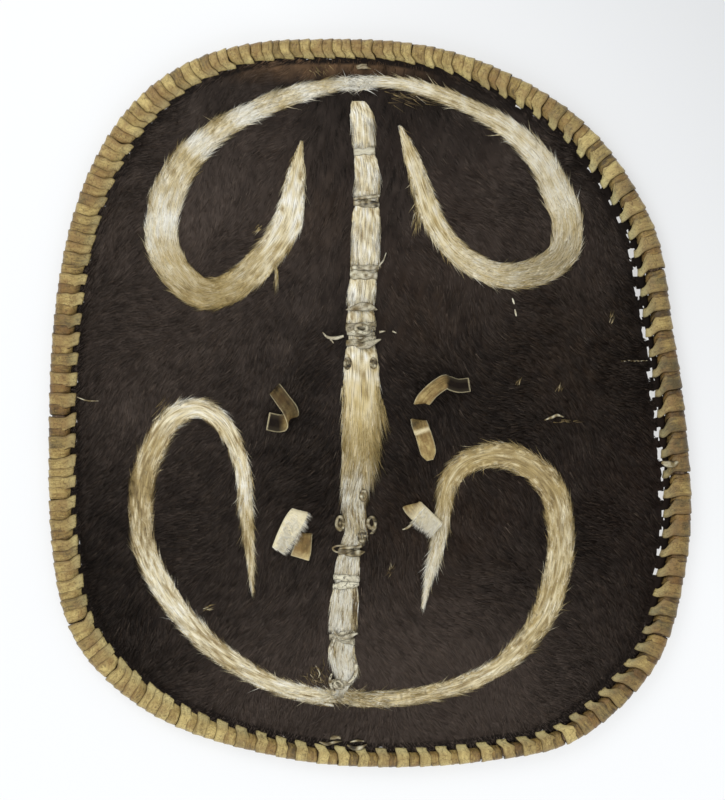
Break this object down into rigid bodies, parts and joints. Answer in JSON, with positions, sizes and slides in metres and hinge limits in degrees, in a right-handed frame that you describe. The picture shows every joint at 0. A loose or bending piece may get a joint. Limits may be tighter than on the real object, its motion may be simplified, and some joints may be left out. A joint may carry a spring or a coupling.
{
  "type": "hide shield",
  "caption": "Broad rounded hide shield with dark hair, pale laid-on scrolls and centre strip, lashed rim, back staff and hand straps.",
  "frame": {"origin": "middle of the footprint, on the floor under the rim", "axes": "+Y towards the shield's upper end, +Z out of the haired front; it lies on its hollow back"},
  "size_m": [0.6449, 0.7304, 0.0935],
  "materials": {
    "dark_haired_hide": "short black-brown hair on the front, bare greyish tan rawhide on the back",
    "bent_stick": "peeled stick, hand-scraped",
    "rawhide_lashing": "dry rawhide strip, yellow-tan, browner on the right",
    "pale_haired_hide": "short cream-white hair, ragged edges",
    "thong": "thin rawhide thong, stiff and shiny",
    "strap_hide": "hide strap, bare olive-tan flesh side, some white hair"
  },
  "bodies": {
    "root": {"hide_panel": "dark_haired_hide", "rim_hoop": "bent_stick", "rim_lashing": "rawhide_lashing", "back_staff": "bent_stick", "centre_strip": "pale_haired_hide", "scroll_upper_left": "pale_haired_hide", "scroll_upper_right": "pale_haired_hide", "scroll_lower_left": "pale_haired_hide", "scroll_lower_right": "pale_haired_hide", "staff_tie_1": "thong", "staff_tie_2": "thong", "staff_tie_3": "thong", "staff_tie_4": "thong", "staff_tie_5": "thong", "staff_tie_6": "thong", "staff_tie_7": "thong", "staff_tie_8": "thong", "staff_end_tie_top": "thong", "staff_end_tie_bottom": "thong", "upper_grip_strap": "strap_hide", "lower_grip_strap": "strap_hide", "grip_thong": "strap_hide", "grip_tail": "strap_hide"}
  },
  "joints": []
}
